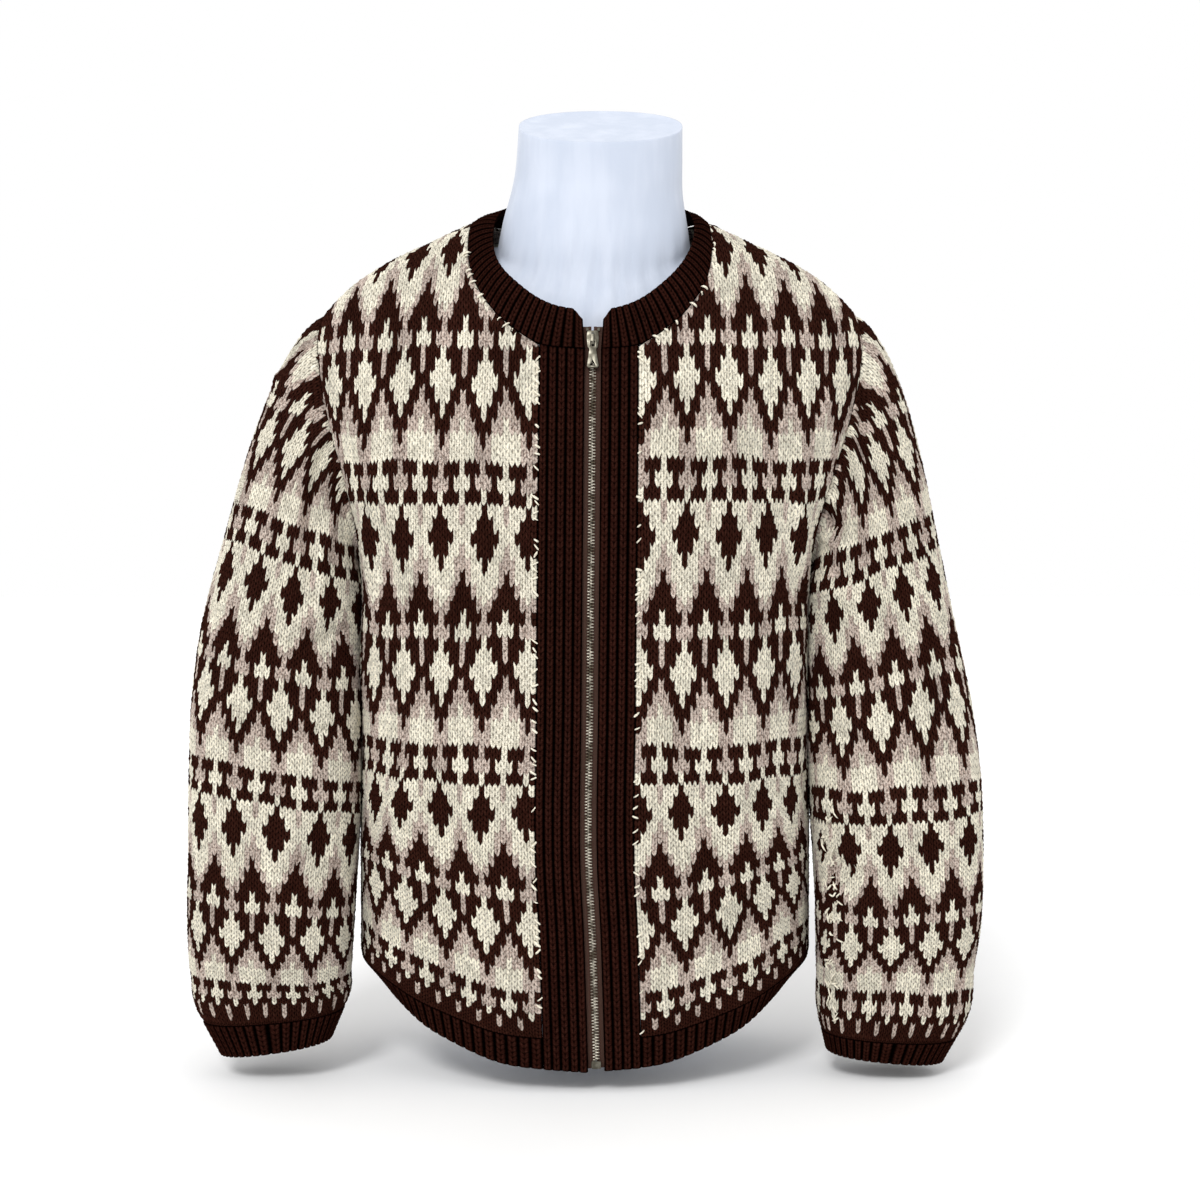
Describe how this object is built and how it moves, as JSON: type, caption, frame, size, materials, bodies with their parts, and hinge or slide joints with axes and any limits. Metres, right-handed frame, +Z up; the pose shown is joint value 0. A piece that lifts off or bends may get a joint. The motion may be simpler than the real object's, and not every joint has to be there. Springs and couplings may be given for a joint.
{
  "type": "cardigan on a dress form",
  "caption": "Zip-front stranded knit cardigan with ribbed edges, filled out on a limbless dress form, sleeves hanging.",
  "frame": {"origin": "on the flat foot of the dress form, on the ground, under the middle of the front", "axes": "+Z up, the front of the garment faces -Y, +X to the viewer's right seen from the front"},
  "size_m": [0.6968, 0.2581, 0.8498],
  "materials": {
    "patterned_knit": "wool, three colours",
    "brown_rib": "wool rib",
    "zip_tape": "woven tape",
    "zip_metal": "aged nickel",
    "jersey": "smooth white jersey"
  },
  "bodies": {
    "cardigan": {"front_left": "patterned_knit", "front_right": "patterned_knit", "back": "patterned_knit", "sleeve_left": "patterned_knit", "sleeve_right": "patterned_knit", "hem_left": "brown_rib", "hem_right": "brown_rib", "hem_back": "brown_rib", "cuff_left": "brown_rib", "cuff_right": "brown_rib", "front_band_left": "brown_rib", "front_band_right": "brown_rib", "neckband": "brown_rib", "zip_tape_left": "zip_tape", "zip_tape_right": "zip_tape", "zip_chain": "zip_metal", "zip_slider": "zip_metal", "zip_top_stop_left": "zip_metal", "zip_top_stop_right": "zip_metal", "zip_bottom_box": "zip_metal", "dress_form": "jersey"},
    "pull_tab": {"zip_pull_tab": "zip_metal"}
  },
  "joints": [
    {"name": "pull_tab_swing", "type": "hinge", "parent": "cardigan", "child": "pull_tab", "pos_m": [0.00232, -0.11092, 0.63422], "axis": [-1, 0, 0], "range_deg": [0, 150]}
  ]
}
